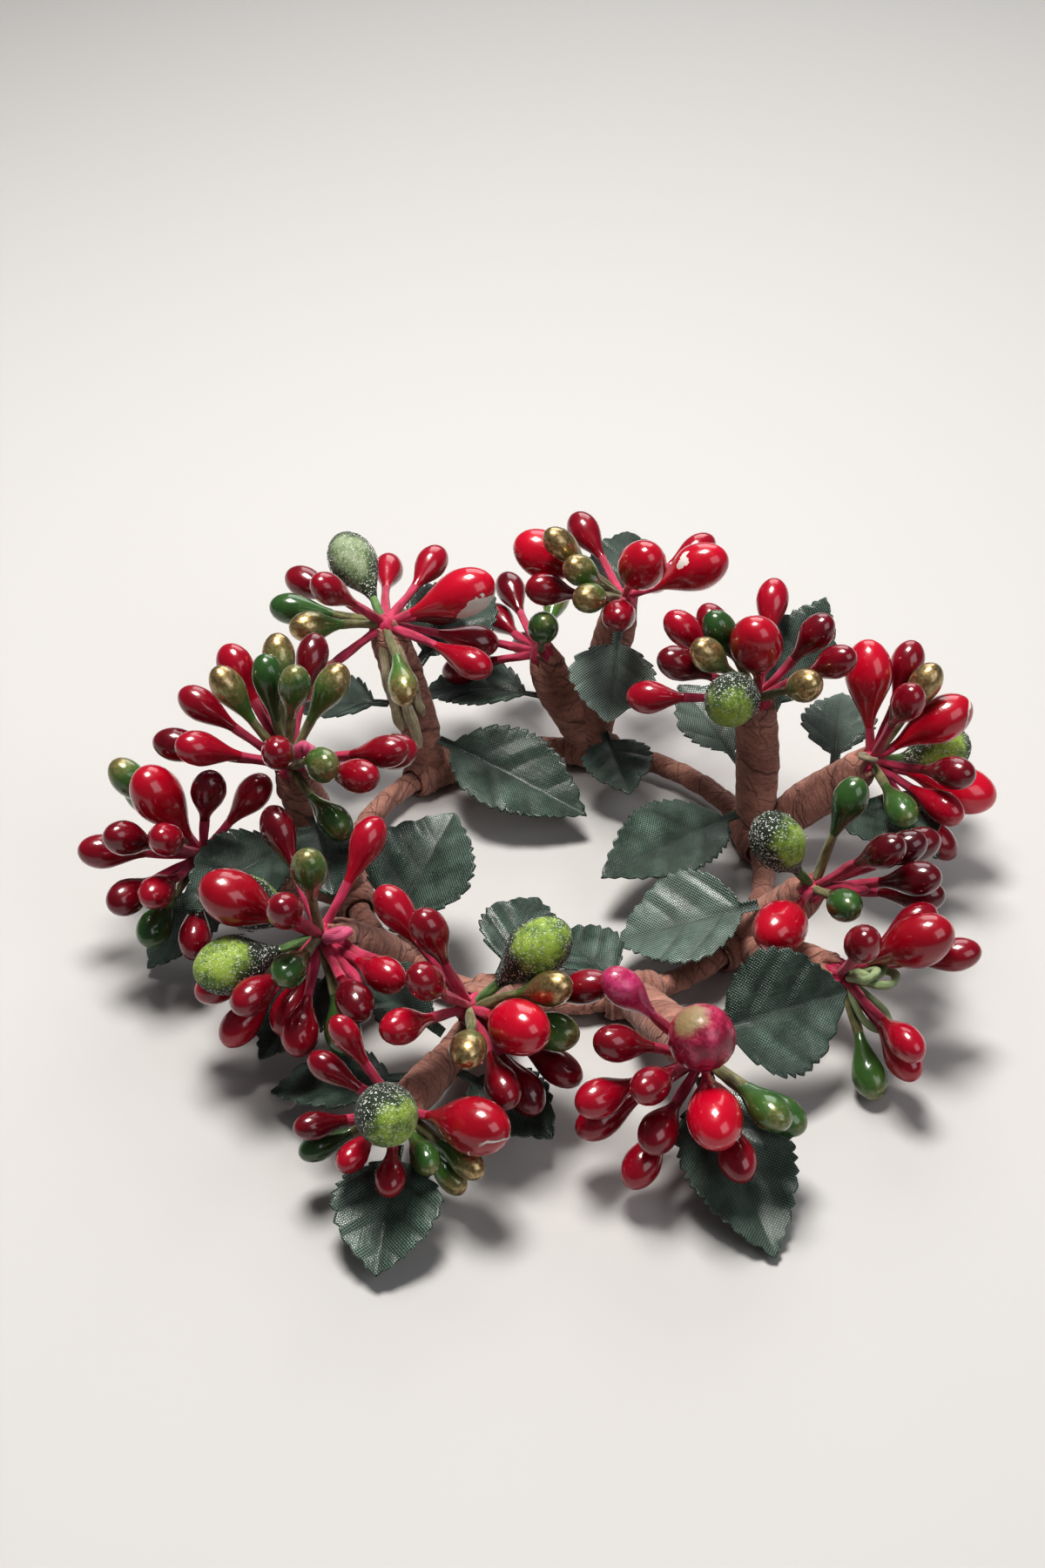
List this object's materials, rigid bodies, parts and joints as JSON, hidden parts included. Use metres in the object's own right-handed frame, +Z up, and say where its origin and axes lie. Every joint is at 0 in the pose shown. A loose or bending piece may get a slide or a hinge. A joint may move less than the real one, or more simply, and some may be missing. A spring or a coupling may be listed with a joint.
{
  "type": "candle ring",
  "caption": "Small wreath-like candle ring: taped wire hoop with wound-on picks of lacquered pips, frosted berries and cloth leaves.",
  "frame": {"origin": "centre of the hoop, in the plane the ring stands on", "axes": "+Z up along the candle's axis, +X to the right and +Y away from the viewer as pictured"},
  "size_m": [0.1154, 0.1145, 0.0399],
  "materials": {
    "paper_tape": "matte crepe paper tape",
    "steel_wire": "drawn wire",
    "red_lacquer": "dipped gloss lacquer",
    "berry_lacquer": "dipped gloss lacquer",
    "green_lacquer": "dipped gloss lacquer with gold blush",
    "sugar_frost": "frosted with glass grains",
    "pink_wax": "satin wax",
    "leaf_cloth": "woven polyester, pressed veins"
  },
  "bodies": {
    "hoop": {"hoop_wire": "steel_wire", "hoop_tape": "paper_tape"},
    "back_left": {"back_left_stem": "paper_tape", "back_left_wire": "steel_wire", "back_left_pips": "red_lacquer", "back_left_berries": "berry_lacquer", "back_left_buds": "green_lacquer", "back_left_frosted": "sugar_frost", "back_left_leaves": "leaf_cloth"},
    "left": {"left_stem": "paper_tape", "left_wire": "steel_wire", "left_pips": "red_lacquer", "left_berries": "berry_lacquer", "left_buds": "green_lacquer", "left_leaves": "leaf_cloth"},
    "front_left": {"front_left_stem": "paper_tape", "front_left_wire": "steel_wire", "front_left_pips": "red_lacquer", "front_left_berries": "berry_lacquer", "front_left_buds": "green_lacquer", "front_left_frosted": "sugar_frost", "front_left_leaves": "leaf_cloth"},
    "front": {"front_stem": "paper_tape", "front_wire": "steel_wire", "front_pips": "red_lacquer", "front_berries": "berry_lacquer", "front_buds": "green_lacquer", "front_frosted": "sugar_frost", "front_leaves": "leaf_cloth"},
    "front_right": {"front_right_stem": "paper_tape", "front_right_wire": "steel_wire", "front_right_pips": "red_lacquer", "front_right_berries": "berry_lacquer", "front_right_buds": "green_lacquer", "front_right_pink_bud": "pink_wax", "front_right_leaves": "leaf_cloth"},
    "right": {"right_stem": "paper_tape", "right_wire": "steel_wire", "right_pips": "red_lacquer", "right_berries": "berry_lacquer", "right_buds": "green_lacquer", "right_frosted": "sugar_frost", "right_leaves": "leaf_cloth"},
    "right_back": {"right_back_stem": "paper_tape", "right_back_wire": "steel_wire", "right_back_pips": "red_lacquer", "right_back_berries": "berry_lacquer", "right_back_buds": "green_lacquer", "right_back_frosted": "sugar_frost", "right_back_leaves": "leaf_cloth"},
    "back": {"back_stem": "paper_tape", "back_wire": "steel_wire", "back_pips": "red_lacquer", "back_berries": "berry_lacquer", "back_buds": "green_lacquer", "back_leaves": "leaf_cloth"}
  },
  "joints": [
    {"name": "back_left_roll", "type": "hinge", "parent": "hoop", "child": "back_left", "pos_m": [-0.01736, 0.02068, 0.00248], "axis": [0.766, 0.6428, 0], "range_deg": [0, 8]},
    {"name": "left_roll", "type": "hinge", "parent": "hoop", "child": "left", "pos_m": [-0.0262, -0.00653, 0.00248], "axis": [-0.2419, 0.9703, 0], "range_deg": [0, 8]},
    {"name": "front_left_roll", "type": "hinge", "parent": "hoop", "child": "front_left", "pos_m": [-0.01807, -0.02006, 0.00248], "axis": [-0.7431, 0.6691, 0], "range_deg": [0, 8]},
    {"name": "front_roll", "type": "hinge", "parent": "hoop", "child": "front", "pos_m": [-0.00653, -0.0262, 0.00248], "axis": [-0.9703, 0.2419, 0], "range_deg": [0, 8]},
    {"name": "front_right_roll", "type": "hinge", "parent": "hoop", "child": "front_right", "pos_m": [0.00923, -0.02537, 0.00248], "axis": [-0.9397, -0.342, 0], "range_deg": [0, 8]},
    {"name": "right_roll", "type": "hinge", "parent": "hoop", "child": "right", "pos_m": [0.02238, -0.0151, 0.00248], "axis": [-0.5592, -0.829, 0], "range_deg": [0, 8]},
    {"name": "right_back_roll", "type": "hinge", "parent": "hoop", "child": "right_back", "pos_m": [0.02608, 0.00699, 0.00248], "axis": [0.2588, -0.9659, 0], "range_deg": [0, 8]},
    {"name": "back_roll", "type": "hinge", "parent": "hoop", "child": "back", "pos_m": [0.00469, 0.02659, 0.00248], "axis": [0.9848, -0.1736, 0], "range_deg": [0, 8]}
  ]
}
